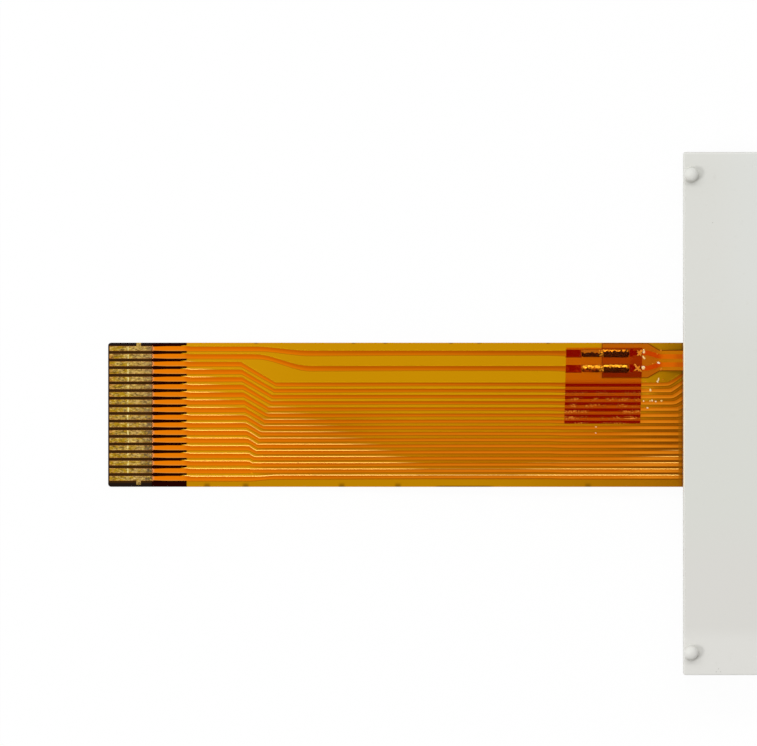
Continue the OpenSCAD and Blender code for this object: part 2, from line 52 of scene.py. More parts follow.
# Display cell: two plates of float glass a hair apart, sealed with a printed resin rim.
# Clear electrodes are etched on their inner faces, and the gap is filled with fluid through a port,
# which a drop of resin closes. A grey-green polarizer film is rolled onto each outer face.
def shade(red, green, blue):
    """A screen colour, 0 to 255, as the linear colour that a shader takes."""
    parts = [part / 255 for part in (red, green, blue)]
    return (*[part / 12.92 if part < 0.04 else ((part + 0.055) / 1.055) ** 2.4 for part in parts], 1)


class Value:
    """A number on a socket: each sum or product of it adds its own Math node."""

    def __init__(self, finish, socket):
        self.finish = finish
        self.socket = socket

    def math(self, operation, first, second):
        return self.finish.node("Math", {"operation": operation}, {0: first, 1: second})

    def __add__(self, other):
        return self.math("ADD", self, other)

    def __sub__(self, other):
        return self.math("SUBTRACT", self, other)

    def __rsub__(self, other):
        return self.math("SUBTRACT", other, self)

    def __mul__(self, other):
        return self.math("MULTIPLY", self, other)

    def __truediv__(self, other):
        return self.math("DIVIDE", self, other)

    __radd__ = __add__
    __rmul__ = __mul__


class Finish:
    """A material, its coordinates in millimetres and the nodes that are added to it."""

    def __init__(self, name, constants):
        self.material = bpy.data.materials.new(name)
        self.material.use_nodes = True
        self.tree = self.material.node_tree
        self.shader = self.tree.nodes["Principled BSDF"]
        self.plain = Value(self, self.shader.outputs[0])
        self.coordinates = None
        self.feed(self.shader, constants)

    def feed(self, node, sockets):
        for key, given in sockets.items():
            if isinstance(given, Value):
                self.tree.links.new(given.socket, node.inputs[key])
            else:
                node.inputs[key].default_value = given

    def node(self, kind, settings=None, sockets=None, output=0):
        made = self.tree.nodes.new("ShaderNode" + kind)
        for key, setting in (settings or {}).items():
            setattr(made, key, setting)
        self.feed(made, sockets or {})
        return Value(self, made.outputs[output])

    def place(self):
        """Object coordinates in millimetres."""
        if self.coordinates is None:
            metres = self.node("TexCoord", output="Object")
            self.coordinates = self.node("Mapping", {}, {"Vector": metres, "Scale": (1000, 1000, 1000)})
        return self.coordinates

    def axis(self, letter):
        return self.node("SeparateXYZ", {}, {0: self.place()}, output=letter)

    def plan(self):
        return self.axis("X"), self.axis("Y")

    def ramp(self, value, start, end):
        """0 before start, 1 after end, and a soft step between them."""
        limits = {"Value": value, "From Min": start, "From Max": end}
        return self.node("MapRange", {"interpolation_type": "SMOOTHSTEP"}, limits)

    def within(self, value, start, end, soft):
        """1 between start and end, with edges that are soft over the length given."""
        return self.ramp(value, start - soft, start + soft) * self.ramp(value, end + soft, end - soft)

    def around(self, value, middle, half, soft):
        """1 up to half from the middle, with edges that are as soft."""
        return self.within(value, middle - half, middle + half, soft)

    def cloud(self, size, detail=2, stretch=(1, 1, 1)):
        """Soft noise, 0 to 1, with blots of about the size given in millimetres."""
        scale = [1 / (size * part) for part in stretch]
        placed = self.node("Mapping", {}, {"Vector": self.place(), "Scale": scale})
        return self.node("TexNoise", {}, {"Vector": placed, "Scale": 1, "Detail": detail})

    def attribute(self, name):
        return self.node("Attribute", {"attribute_name": name}, {}, output="Fac")

    def blend(self, factor, first, second):
        colours = {"Factor": factor, 6: first, 7: second}
        return self.node("Mix", {"data_type": "RGBA"}, colours, output=2)

    def layers(self, tone, *coats):
        """A colour under coats, each given by how much it covers and by its own colour."""
        for cover, coat in coats:
            tone = self.blend(cover, tone, coat)
        return tone

    def bump(self, height, distance, strength):
        """Height is 0 to 1 and distance, in millimetres, is how far 1 stands up."""
        sockets = {"Height": height, "Distance": distance / 1000, "Strength": strength}
        self.feed(self.shader, {"Normal": self.node("Bump", {}, sockets)})

    def colour(self, value):
        self.feed(self.shader, {"Base Color": value})

    def surface(self, share, first, second):
        """Shows a mix of two shaders in place of the plain one."""
        mixed = self.node("MixShader", {}, {0: share, 1: first, 2: second})
        self.feed(self.tree.nodes["Material Output"], {"Surface": mixed})


def dress(finish, *names):
    for name in names:
        frame["nodes"][name].material_slots[0].material = finish.material


def mottle(names, finish_name, light, dark, blot, roughness, alpha=1):
    """Dresses nodes in one colour with faint cloudy spots."""
    finish = Finish(finish_name, {"Roughness": roughness, "Alpha": alpha})
    finish.colour(finish.blend(finish.cloud(blot), light, dark))
    dress(finish, *names)


polarizers = ["front_polarizer", "rear_polarizer"]
plates = ["front_glass", "rear_glass"]
electrodes = ["segment_electrodes", "common_electrodes"]
seals = ["perimeter_seal", "port_plug", "ledge_sealant"]
mottle(polarizers, "polarizer_film", shade(112, 120, 106), shade(104, 112, 99), 6, 0.22, alpha=0.72)
mottle(plates, "cut_glass", shade(214, 230, 224), shade(206, 226, 219), 9, 0.04, alpha=0.22)
mottle(["liquid_crystal"], "crystal_fluid", shade(170, 178, 158), shade(163, 171, 151), 5, 0.3)
mottle(electrodes, "clear_conductor", shade(66, 72, 66), shade(74, 80, 73), 2, 0.25)
mottle(seals, "seal_resin", shade(212, 206, 182), shade(198, 191, 165), 0.8, 0.35)


# Light stack: a clear acrylic guide between a matt diffuser and a white reflector, dropped into the tray.
# Two side LEDs, white packages with a window of yellow silicone, shine into its edge,
# and a frame of white double-sided tape holds the glass to the tray's shelf.
sheets = ["diffuser_sheet", "reflector_sheet"]
packages = ["led_body_1", "led_body_2"]
phosphors = ["led_phosphor_1", "led_phosphor_2"]
mottle(["mounting_tape"], "white_tape", shade(238, 238, 233), shade(229, 229, 224), 1.2, 0.7)
mottle(sheets, "white_sheet", shade(244, 244, 241), shade(238, 238, 235), 3, 0.6)
mottle(["light_guide"], "clear_acrylic", shade(226, 236, 238), shade(220, 232, 234), 8, 0.05, alpha=0.3)
mottle(packages, "led_package", shade(243, 241, 232), shade(232, 230, 220), 0.4, 0.5)
mottle(phosphors, "yellow_silicone", shade(240, 212, 84), shade(230, 198, 66), 0.3, 0.25)


# Backlight housing: one injection moulding in satin white, a shallow tray that opens towards the display.
# Its lip frames the glass, two notches in one end let the flex and the tail out,
# and four short posts with rounded heads stand on its back to locate it.
def millimetres(vector):
    return vector * 1000


def start_edit(picking="FACE"):
    kinds = ("VERT", "EDGE", "FACE")
    bpy.context.tool_settings.mesh_select_mode = [kind == picking for kind in kinds]
    bpy.ops.object.mode_set(mode="EDIT")


def end_edit():
    bpy.ops.object.mode_set(mode="OBJECT")


def select_whole():
    bpy.ops.mesh.select_all(action="SELECT")


def select_only(piece):
    bpy.ops.object.select_all(action="DESELECT")
    piece.select_set(True)
    bpy.context.view_layer.objects.active = piece


def add_block(low, high):
    middle = [(a + b) / 2 for a, b in zip(low, high)]
    bpy.ops.mesh.primitive_cube_add(size=1, location=middle)
    block = bpy.context.object
    block.scale = [b - a for a, b in zip(low, high)]
    bpy.ops.object.transform_apply()
    return block


def clear_picks(mesh):
    for part in (mesh.vertices, mesh.edges, mesh.polygons):
        part.foreach_set("select", [False] * len(part))


def pick_faces(piece, test):
    """Selects the faces that pass the test, and leaves the piece in edit mode."""
    end_edit()
    clear_picks(piece.data)
    for face in piece.data.polygons:
        face.select = test(face)
    start_edit()


def pick_edges(piece, test):
    """Selects the edges whose two ends pass the test, and leaves the piece in edit mode."""
    end_edit()
    clear_picks(piece.data)
    points = piece.data.vertices
    for edge in piece.data.edges:
        edge.select = test(*[points[corner].co for corner in edge.vertices])
    start_edit("EDGE")


def extrude(rise):
    bpy.ops.mesh.extrude_region_move(TRANSFORM_OT_translate={"value": (0, 0, rise)})


def apply_modifier(piece, kind, **settings):
    select_only(piece)
    modifier = piece.modifiers.new(kind.lower(), kind)
    for key, setting in settings.items():
        setattr(modifier, key, setting)
    bpy.ops.object.modifier_apply(modifier=modifier.name)


def cut(piece, tool, operation="DIFFERENCE"):
    apply_modifier(piece, "BOOLEAN", object=tool, operation=operation, solver="EXACT")
    bpy.data.objects.remove(tool)


def to_metres(piece):
    """Pieces are drawn in millimetres, and end as the frame's metres."""
    select_only(piece)
    piece.scale = (0.001, 0.001, 0.001)
    bpy.ops.object.transform_apply()


def hand_over(piece, name, slot, *replaced):
    piece.name = name
    piece.data.name = name
    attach(piece, "root")
    if replaced:
        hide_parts(*replaced)


mounts = {mount["name"]: mount for mount in frame["record"]["mounts"]}
housing_low, housing_high = map(millimetres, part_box("backlight_housing"))
wall_x = housing_low.x
back_z = mounts["back_face"]["pos_m"][2] * 1000
shelf_z = millimetres(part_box("diffuser_sheet")[0]).z
pocket_z = millimetres(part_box("reflector_sheet")[1]).z
lip_wall = 0.6
side_wall = 1.6
corner_r = 0.13
rim_round = 0.1
edge_round = 0.03
housing = add_block(housing_low, (housing_high.x, housing_high.y, back_z))
pick_faces(housing, lambda face: face.normal.z < -0.5)
bpy.ops.mesh.inset(thickness=lip_wall)
extrude(shelf_z - housing_low.z)
bpy.ops.mesh.inset(thickness=side_wall - lip_wall)
extrude(pocket_z - shelf_z)
corner_x = housing_high.x - lip_wall / 2
pick_edges(housing, lambda a, b: abs(a.z - b.z) > back_z - shelf_z and abs(a.x) > corner_x)
bpy.ops.mesh.bevel(offset=corner_r, segments=6)
pick_edges(housing, lambda a, b: min(a.z, b.z) > back_z - edge_round)
bpy.ops.mesh.bevel(offset=rim_round, segments=5)
end_edit()
film_low, film_high = map(millimetres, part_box("flex_base_film"))
neck_half = 0.685
tail_mid = (millimetres(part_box("solder_joint_1")[1]).y + millimetres(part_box("solder_joint_2")[0]).y) / 2
slot_clear = 0.2
past = 1
strip_top = millimetres(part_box("led_flex_coverlay")[1]).z
cut(housing, add_block(
    (wall_x - past, film_low.y - slot_clear, housing_low.z - past),
    (wall_x + lip_wall, film_high.y + slot_clear, film_high.z + slot_clear),
))
cut(housing, add_block(
    (wall_x - past, tail_mid - neck_half - slot_clear, housing_low.z - past),
    (wall_x + side_wall + past, tail_mid + neck_half + slot_clear, strip_top + slot_clear),
))
apply_modifier(
    housing, "BEVEL", width=edge_round, segments=3, limit_method="ANGLE", angle_limit=math.radians(40)
)
post_sizes = mounts["locating_posts"]["dims"]
post_x = post_sizes["spacing_x_mm"] / 2
post_y = post_sizes["spacing_y_mm"] / 2
post_r = post_sizes["stud_r_mm"]
post_mid_z = (housing_high.z + back_z) / 2
post_round = 0.43
post_root = 0.03
for side_x in (-1, 1):
    for side_y in (-1, 1):
        at = (side_x * post_x, side_y * post_y, post_mid_z)
        bpy.ops.mesh.primitive_cylinder_add(
            vertices=64, radius=post_r, depth=housing_high.z - back_z, location=at
        )
        post = bpy.context.object
        bpy.ops.object.transform_apply()
        pick_faces(post, lambda face: face.normal.z > 0.5)
        bpy.ops.mesh.bevel(offset=post_round, segments=7)
        pick_faces(post, lambda face: face.normal.z < -0.5)
        bpy.ops.transform.resize(value=(1 + post_root / post_r, 1 + post_root / post_r, 1))
        extrude(-post_root)
        end_edit()
        cut(housing, post, "UNION")
select_only(housing)
bpy.ops.object.shade_smooth_by_angle(angle=math.radians(35))
satin = Finish("satin_white_moulding", {"Roughness": 0.38, "Specular IOR Level": 0.3})
x, y = satin.plan()
near_flex = satin.ramp(x, -8, -19) * 0.8
smudge = satin.within(x, -23.02, -22.9, 0.12) * satin.within(y, 15.3, 15.6, 0.2)
speck_r = 0.03
specks = 0
for speck_x, speck_y in [(-23.1, 12.48), (-22.86, -16.88), (-22.71, -16.69), (-22.58, -16.88)]:
    across = satin.around(x, speck_x, speck_r, speck_r)
    specks = specks + across * satin.around(y, speck_y, speck_r, speck_r)
# Painted shade in a crescent below and right of each left post, and a painted highlight above and left of
# it.
painted_centre_x, painted_centre_y = 0.04, -0.06
painted_post_shade = 0
painted_post_highlight = 0
for side_y in (-1, 1):
    from_x = x + post_x - painted_centre_x
    from_y = y - side_y * post_y - painted_centre_y
    from_post = from_x * from_x + from_y * from_y
    ring = satin.within(from_post, 0.11, 0.25, 0.1)
    painted_post_shade = painted_post_shade + ring * satin.ramp(from_y - from_x * 0.4, 0.05, -0.4)
    painted_post_highlight = painted_post_highlight + satin.ramp(from_post, 0.5, 0.15) * satin.ramp(from_y - from_x * 0.6, -0.15, 0.4)
# Painted highlight: a pale line along the rounded upper and left edges of the back.
rim = satin.within(y, housing_high.y - 0.13, housing_high.y - 0.08, 0.02)
rim = rim + satin.within(x, wall_x + 0.03, wall_x + 0.06, 0.02)
# Painted reflection: the flex's warm amber light on the rounded top edge of the wall beside it.
painted_amber_reflection = satin.ramp(x, wall_x + 0.065, wall_x + 0.035)
painted_amber_reflection = painted_amber_reflection * satin.within(y, film_low.y, film_high.y, 0.05)
painted_amber_reflection = painted_amber_reflection * satin.ramp(satin.axis("Z"), back_z - 0.1, back_z - 0.06)
satin.colour(satin.layers(
    shade(221, 221, 215),
    (satin.cloud(9), shade(219, 219, 213)),
    (satin.ramp(x, -23.5, -20.5), shade(221, 222, 217)),
    (satin.ramp(y, 9, 2) * near_flex, shade(217, 218, 211)),
    (satin.ramp(y, -5, -11) * near_flex, shade(219, 217, 212)),
    (satin.ramp(y, -13.8, -15) * near_flex, shade(225, 224, 219)),
    (satin.ramp(satin.cloud(0.3, 3), 0.6, 0.85) * 0.6, shade(214, 214, 207)),
    (smudge * 0.5, shade(206, 206, 198)),
    (specks * 0.5, shade(150, 148, 138)),
    (painted_post_shade * 0.35, shade(118, 116, 104)),
    (painted_post_highlight * 0.45, shade(238, 239, 233)),
    (rim * 0.7, shade(232, 232, 227)),
    (painted_amber_reflection, shade(255, 241, 206)),
))
satin.bump(satin.cloud(0.12, 3), 0.004, 0.3)
housing.data.materials.append(satin.material)
to_metres(housing)
hand_over(housing, "moulded_housing", "white_moulding", "backlight_housing")


# Main flex: copper traces etched on polyimide film, with a second film glued over them.
# The film stands up in a low soft ridge over each trace. At the contact end a black stiffener is
# laminated underneath, and the film is left off so that the contacts lie bare.
stiffener_x = millimetres(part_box("flex_stiffener")[1]).x
window_x = film_low.x
tape_shift = Vector((0.1, -0.04, 0))
tape_low, tape_high = [millimetres(corner) + tape_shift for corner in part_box("insulating_tape")]
tape_lean = math.tan(math.radians(1.6))
tape_slant = tape_lean * (tape_high.y - tape_low.y)
amber_dense = shade(162, 92, 0)
amber_taped = shade(190, 94, 4)
black_film = shade(36, 3, 0)
pink_copper = shade(236, 148, 80)
taped_copper = shade(137, 8, 0)
film_gloss = {"Roughness": 0.3, "Specular IOR Level": 0.01, "Metallic": 0.1}


def under_tape(finish):
    """1 where the tape covers the flex: its two cut ends lean a little."""
    x, y = finish.plan()
    squared = x - (y - tape_low.y) * tape_lean
    along = finish.within(squared, tape_low.x, tape_high.x - tape_slant, 0.015)
    return along * finish.within(y, tape_low.y, tape_high.y, 0.015)


def at_housing(finish, tone):
    """The last strip beside the housing: painted shade, dull over the lower traces and darker by the wall.
    """
    x, y = finish.plan()
    dull = finish.ramp(x, wall_x - 0.34, wall_x - 0.26) * finish.ramp(y, 0.8, 0.2)
    shaded = finish.ramp(x, wall_x - 0.18, wall_x - 0.02)
    return finish.layers(tone, (dull * 0.6, shade(166, 98, 6)), (shaded * 0.45, shade(112, 62, 4)))


def amber(finish):
    """Amber that deepens towards the housing and between the lower traces as painted shade, and under the
    tape.
    """
    x, y = finish.plan()
    lower = finish.ramp(y, 0.3, -1.5)
    dip = finish.ramp(x, -53.6, -52) * finish.ramp(x, -42, -48.5) * finish.ramp(y, 0.9, -0.9)
    smear = finish.within(x, -27.7, -27, 0.4) * finish.within(y, 0.75, 1.85, 0.25)
    band = finish.blend(finish.ramp(x, -40, -25), shade(190, 130, 1), shade(170, 107, 3))
    nicks = finish.within(x, -41.1, -37.5, 0.3) * finish.ramp(y, -4.7, -4.75)
    for nick_x in (-52.96, -46.58, -44.5, -40.2, -38.36, -33.84):
        nicks = nicks + finish.around(x, nick_x, 0.1, 0.12) * finish.ramp(y, 4.52, 4.6)
    for nick_x in (-56.17, -53.64, -47.35, -43.67, -31.22):
        nicks = nicks + finish.around(x, nick_x, 0.18, 0.12) * finish.ramp(y, -4.46, -4.74)
    tone = finish.layers(
        shade(209, 146, 6),
        (finish.ramp(x, -56, -49), shade(201, 141, 2)),
        (finish.ramp(y, 1.5, -3) * finish.ramp(x, -55, -38), shade(178, 106, 0)),
        (finish.ramp(x, -28.6, -25.4), shade(168, 114, 3)),
        (finish.ramp(x, -30, -25.2) * finish.ramp(y, 2.3, 1.6), amber_dense),
        (finish.ramp(x, -34.5, -28.5) * lower * 0.8, amber_dense),
        (finish.ramp(x, -30.5, -26) * lower * 0.85, shade(136, 74, 0)),
        (dip * 0.75, shade(172, 104, 0)),
        (smear * 0.9, shade(196, 128, 10)),
        (finish.ramp(y, -4.25, -4.4), band),
        (nicks * 0.8, shade(128, 84, 4)),
    )
    taped = finish.blend(finish.ramp(y, 1.95, 2.3), amber_taped, shade(206, 122, 4))
    return finish.blend(under_tape(finish), at_housing(finish, tone), taped)


def over_black(finish):
    """1 where the stiffener lies below."""
    return finish.ramp(finish.axis("X"), stiffener_x + 0.03, stiffener_x - 0.03)


base_film = Finish("amber_film", film_gloss)
black = over_black(base_film)
base_film.colour(base_film.blend(black, amber(base_film), black_film))
base_film.feed(base_film.shader, {"Metallic": 0.1 + black * 0.6})
dress(base_film, "flex_base_film")

cover_film = Finish("amber_cover_film", film_gloss)
y = cover_film.axis("Y")
margin = cover_film.ramp(y, 4.42, 4.5) + cover_film.ramp(y, -4.5, -4.6)
brown = cover_film.layers(
    shade(50, 30, 2),
    (cover_film.cloud(0.25, 3, (3, 1, 1)), shade(62, 38, 16)),
    (margin, shade(32, 22, 18)),
)
cover_film.colour(cover_film.blend(over_black(cover_film), amber(cover_film), brown))
dress(cover_film, "flex_coverlay")

mottle(["flex_stiffener"], "black_stiffener", shade(22, 12, 10), shade(32, 20, 16), 0.5, 0.45)

copper = Finish("etched_copper", {"Roughness": 0.35, "Metallic": 0.8})
copper.colour(copper.blend(copper.cloud(0.4), shade(214, 128, 66), shade(186, 100, 46)))
dress(copper, "flex_copper", "led_flex_copper")


def copper_tint(finish):
    """Copper seen through the film, with shade painted across each trace: darker on its upper edge, and
    darker by the housing; deep red under the tape.
    """
    x, y = finish.plan()
    across = finish.attribute("across")
    left = finish.ramp(x, -46, -55)
    right = finish.ramp(x, -44, -34)
    low = finish.ramp(y, 1.4, -2.2) * finish.ramp(x, -50, -38)
    dense = finish.ramp(x, -30, -26.8) * finish.ramp(y, 2.3, 1.6)
    upper = finish.layers(
        shade(182, 84, 0),
        (left, shade(208, 98, 0)),
        (right, shade(172, 76, 0)),
        (low, shade(188, 94, 0)),
        (dense, shade(206, 108, 4)),
    )
    lower = finish.layers(
        shade(208, 110, 1),
        (left, shade(229, 118, 2)),
        (right, shade(198, 102, 2)),
        (low, shade(220, 118, 12)),
        (dense, shade(230, 134, 22)),
    )
    flat = finish.blend(finish.ramp(across, 0.72, 1), shade(234, 123, 2), shade(230, 142, 50))
    edge = finish.ramp(x + (finish.cloud(0.12) - 0.5) * 0.1, window_x + 0.17, window_x + 0.09)
    tone = finish.layers(
        upper,
        (finish.ramp(across, 0.05, 0.85 - low * 0.3), lower),
        (finish.ramp(across, 0.7, 1) * low * 0.7, shade(186, 96, 0)),
        (finish.ramp(x, -26, -25.3) * 0.1, shade(176, 90, 6)),
        (finish.ramp(x, stiffener_x + 0.1, stiffener_x - 0.3), flat),
        (edge, pink_copper),
    )
    patches = finish.within(y, 2.6, 3.3, 0.1) * finish.ramp(finish.cloud(0.22, 3), 0.5, 0.6)
    taped = finish.layers(
        amber_taped,
        (finish.ramp(across, 0.1, 0.4), taped_copper),
        (finish.ramp(y, 2.4, 2.6), taped_copper),
        (patches * 0.6, shade(172, 54, 2)),
    )
    return finish.blend(under_tape(finish), at_housing(finish, tone), taped)


trace_film = Finish("film_over_traces", film_gloss)
trace_film.colour(copper_tint(trace_film))
slopes = Finish("film_slopes", {"Roughness": 0.25, "Specular IOR Level": 0.03})
x, y = slopes.plan()
gleam = slopes.ramp(slopes.attribute("gleam"), 0.4, 0.95)
gleam = gleam * slopes.ramp(x, wall_x - 0.24, wall_x - 0.34)
lit_side = 1 - slopes.attribute("across")
raised = lit_side * slopes.ramp(x, stiffener_x - 0.45, stiffener_x - 0.2)
dark = over_black(slopes) * (1 - raised)
film = amber(slopes)
side_share = 0.5 - slopes.ramp(x, -31, -28) * 0.5
side_share = side_share + (0.8 - side_share) * under_tape(slopes)
# Painted highlight: where the gleam is high, the lit upper slopes are coloured cream, creamier on the
# lowest trace and fading by the housing.
lit_tone = slopes.blend(slopes.ramp(y, -3.8, -3.95), shade(255, 190, 84), shade(255, 200, 100))
slopes.colour(slopes.layers(
    film,
    (side_share, copper_tint(slopes)),
    (lit_side, film),
    (lit_side * gleam * 0.8, lit_tone),
    (dark, black_film),
    (slopes.ramp(x, window_x + 0.075, window_x + 0.065), pink_copper),
))
slopes.feed(slopes.shader, {"Metallic": 0.5 + dark * 0.45})

merge_gap = 0.0005
cut_gap = 0.0001


def copy_of(node, name):
    """A copy of a CAD node to work on, in millimetres, its doubled points merged."""
    mesh = frame["nodes"][node].data.copy()
    mesh.transform(Matrix.Scale(1000, 4))
    piece = bpy.data.objects.new(name, mesh)
    bpy.context.scene.collection.objects.link(piece)
    piece.data.materials.clear()
    select_only(piece)
    start_edit()
    select_whole()
    bpy.ops.mesh.remove_doubles(threshold=merge_gap)
    end_edit()
    return piece


def top_of(node, name):
    """The upper faces of a flat CAD node, merged to whole faces, left in edit mode."""
    piece = copy_of(node, name)
    pick_faces(piece, lambda face: face.normal.z < 0.5)
    bpy.ops.mesh.delete(type="FACE")
    select_whole()
    bpy.ops.mesh.dissolve_limited(angle_limit=math.radians(0.1))
    return piece


def cut_at(place, **settings):
    """Cuts what is selected at a place along X."""
    bpy.ops.mesh.bisect(plane_co=(place, 0, 0), plane_no=(1, 0, 0), threshold=cut_gap, **settings)


def cut_across(places, **settings):
    """Cuts the whole piece at each of some places along X."""
    for place in places:
        select_whole()
        cut_at(place, **settings)


def end_cuts():
    """Deletes the points that the cuts left loose, and leaves edit mode."""
    select_whole()
    bpy.ops.mesh.delete_loose()
    end_edit()


def open_edges(mesh):
    """The edges on the open rim of a flat mesh."""
    uses = {}
    for face in mesh.polygons:
        for key in face.edge_keys:
            uses[key] = uses.get(key, 0) + 1
    return {key for key, count in uses.items() if count == 1}


def ways_out(mesh):
    """The points on the open rim of a flat mesh, each with its mitred way outwards."""
    rim = open_edges(mesh)
    normals = {}
    for face in mesh.polygons:
        corners = list(face.vertices)
        for a, b in zip(corners, corners[1:] + corners[:1]):
            if (min(a, b), max(a, b)) in rim:
                along = mesh.vertices[b].co - mesh.vertices[a].co
                for corner in (a, b):
                    normals.setdefault(corner, []).append(Vector((along.y, -along.x, 0)).normalized())
    sharpest = 0.5
    return {
        corner: (first + second) / max(1 + first.dot(second), sharpest)
        for corner, (first, second) in normals.items()
    }


def draw_in(piece, reach):
    for corner, way in ways_out(piece.data).items():
        piece.data.vertices[corner].co -= way * reach


def narrow(piece, reach):
    """Moves the long edges of traces towards each other, by what reach gives for each point."""
    steepest = 0.3
    for corner, way in ways_out(piece.data).items():
        point = piece.data.vertices[corner].co
        point.y -= reach(point, way) * way.y / max(way.y ** 2, steepest)


def clamp(value):
    return max(min(value, 1), 0)


def lift_at_housing(point):
    """How far along Y the film over the upper traces runs from their copper at the housing."""
    lift, length = 0.08, 0.8
    none_y, full_y, tail_y = 0.3, 1.5, 3
    near = clamp((point.x - wall_x) / length + 1)
    high = clamp((point.y - none_y) / (full_y - none_y))
    return lift * near ** 2 * high if point.y < tail_y else 0


def round_bends(piece, start, end, sweeps):
    """Eases the bends of the trace edges between two places, and lifts the upper ones at the housing."""
    points = [vertex.co for vertex in piece.data.vertices]
    beside = {}
    for a, b in open_edges(piece.data):
        beside.setdefault(a, []).append(points[b])
        beside.setdefault(b, []).append(points[a])
    inner = [corner for corner in beside if start < points[corner].x < end]
    for _ in range(sweeps):
        eased = []
        for corner in inner:
            first, second = beside[corner]
            share = (points[corner].x - first.x) / (second.x - first.x)
            eased.append(first.y + (second.y - first.y) * share)
        for corner, level in zip(inner, eased):
            points[corner].y += (level - points[corner].y) / 2
    for corner in inner:
        points[corner].y += lift_at_housing(points[corner])


def stretch_step(piece):
    """Draws out the step in the lowest trace, which is longer on its lower edge."""
    step_start, step_end = -53.6, -51.5
    trace_mid, trace_top = -4.2, -4
    lower_edge = (-4.405, 0.13, -53.4, 1.8)
    upper_edge = (-4.095, 0.07, -52.9, 1.3)
    for vertex in piece.data.vertices:
        point = vertex.co
        if step_start < point.x < step_end and point.y < trace_top:
            level, rise, start, length = lower_edge if point.y < trace_mid else upper_edge
            share = clamp((point.x - start) / length)
            point.y = level + rise * share ** 2 * (3 - 2 * share)


def ridge_draw(point, way):
    """How far a ridge's top stops short of its trace's edge: the lower edge is full at both ends."""
    fan_end = -50
    short, slant_short = 0.035, 0.03
    edge_fade, fan_fade, tape_fade = 0.3, 8, 0.8
    full_slant = 0.4
    upper = clamp((point.x - stiffener_x) / edge_fade)
    lower = clamp(min((point.x - fan_end) / fan_fade, (tape_low.x - point.x) / tape_fade))
    slanted = min(abs(way.x) / full_slant, 1) if point.x < fan_end else 0
    return short * (upper if way.y > 0 else lower) + slant_short * slanted


def mark_across(piece):
    """Notes on each point whether it lies on the upper edge of its trace, 0, or on the lower one, 1."""
    across = piece.data.attributes.new("across", "FLOAT", "POINT")
    across.data.foreach_set("value", [0.5] * len(across.data))
    for corner, way in ways_out(piece.data).items():
        across.data[corner].value = 0 if way.y > 0 else 1


def flare(piece, reach, drop, slot):
    """Draws the open rim of a flat mesh outwards by reach, and each new point down by what drop gives."""
    mesh = piece.data
    rim = open_edges(mesh)
    outward = ways_out(mesh)
    clear_picks(mesh)
    for edge in mesh.edges:
        edge.select = edge.key in rim
    select_only(piece)
    start_edit("EDGE")
    bpy.ops.mesh.extrude_edges_move()
    end_edit()
    drawn = {vertex.index for vertex in mesh.vertices if vertex.select}
    for edge in mesh.edges:
        a, b = edge.vertices
        if (a in drawn) != (b in drawn):
            old, new = (b, a) if a in drawn else (a, b)
            point = mesh.vertices[new].co
            sink = drop(point)
            point += outward[old] * reach
            point.z -= sink
    for face in mesh.polygons:
        if any(corner in drawn for corner in face.vertices):
            face.material_index = slot
            face.use_smooth = True


ridge_full = 0.016
ridge_foot = 0.036
ridge_sink = 0.002
ridge_skin = 0.01


def soft_step(value):
    """0 well below zero, 1 well above it, and a soft step between them."""
    return 1 / (1 + math.exp(-max(min(value, 60), -60)))


def full_before_bends(beyond, y):
    """1 from the stiffener's edge on, over a length that grows from trace to trace downwards."""
    down = 3 - y
    reach = 1.3 * math.exp(0.2 * down + 0.035 * down * down) if down > 0 else 0.5 + 0.7 * down
    fade = 0.25 + 0.15 * max(reach, 0)
    return soft_step((reach - beyond) / fade) * soft_step((beyond + 0.22) / 0.05)


def full_after_bends(beyond, y):
    """Up to 1 past the bends of the lower traces, for longer the lower they lie."""
    share = soft_step((7.6 - 2.1 * y - beyond) / 0.7) * soft_step((1 - y) / 0.1)
    share = share * (0.72 + 0.28 * soft_step((-1.9 - y) / 0.15))
    return max(share, 0.4 * soft_step((-3.5 - y) / 0.03), 0.7 * soft_step((-3.95 - y) / 0.03))


def full_by_housing(x, y):
    """1 on the lowest traces towards the housing, where one after another joins in."""
    line_end = -3.5 + 0.05 * (x + 36) + 0.25 * max(x + 28, 0)
    return soft_step((x + 36.3) / 0.6) * soft_step((line_end - y) / 0.25)


def ridge_height(point):
    """How high the film stands over a trace: most by the stiffener, after low bends and by the housing."""
    beyond = point.x - stiffener_x
    before = full_before_bends(beyond, point.y)
    after = full_after_bends(beyond, point.y)
    bent = soft_step((beyond - 5.2 - 0.28 * point.y) / 0.1)
    left = before + (after - before) * bent
    right = full_by_housing(point.x, point.y)
    return ridge_full * (0.12 + 0.18 * soft_step(beyond / 0.05) + 0.7 * max(left, right))


def raise_ridges(piece, lift, height, inwards=-1):
    """Turns flat trace tops into soft ridges of film that lie over them, and notes which ones gleam."""
    piece.data.materials.append(trace_film.material)
    piece.data.materials.append(slopes.material)
    mark_across(piece)
    gleams = piece.data.attributes.new("gleam", "FLOAT", "POINT")
    for vertex in piece.data.vertices:
        rise = height(vertex.co)
        gleams.data[vertex.index].value = rise / ridge_full
        vertex.co.z += lift + rise
    flare(piece, ridge_foot, lambda point: 0.5 * height(point), 1)
    flare(piece, ridge_foot, lambda point: 0.5 * height(point) + ridge_sink, 1)
    apply_modifier(piece, "SOLIDIFY", thickness=ridge_skin, offset=inwards)
    to_metres(piece)


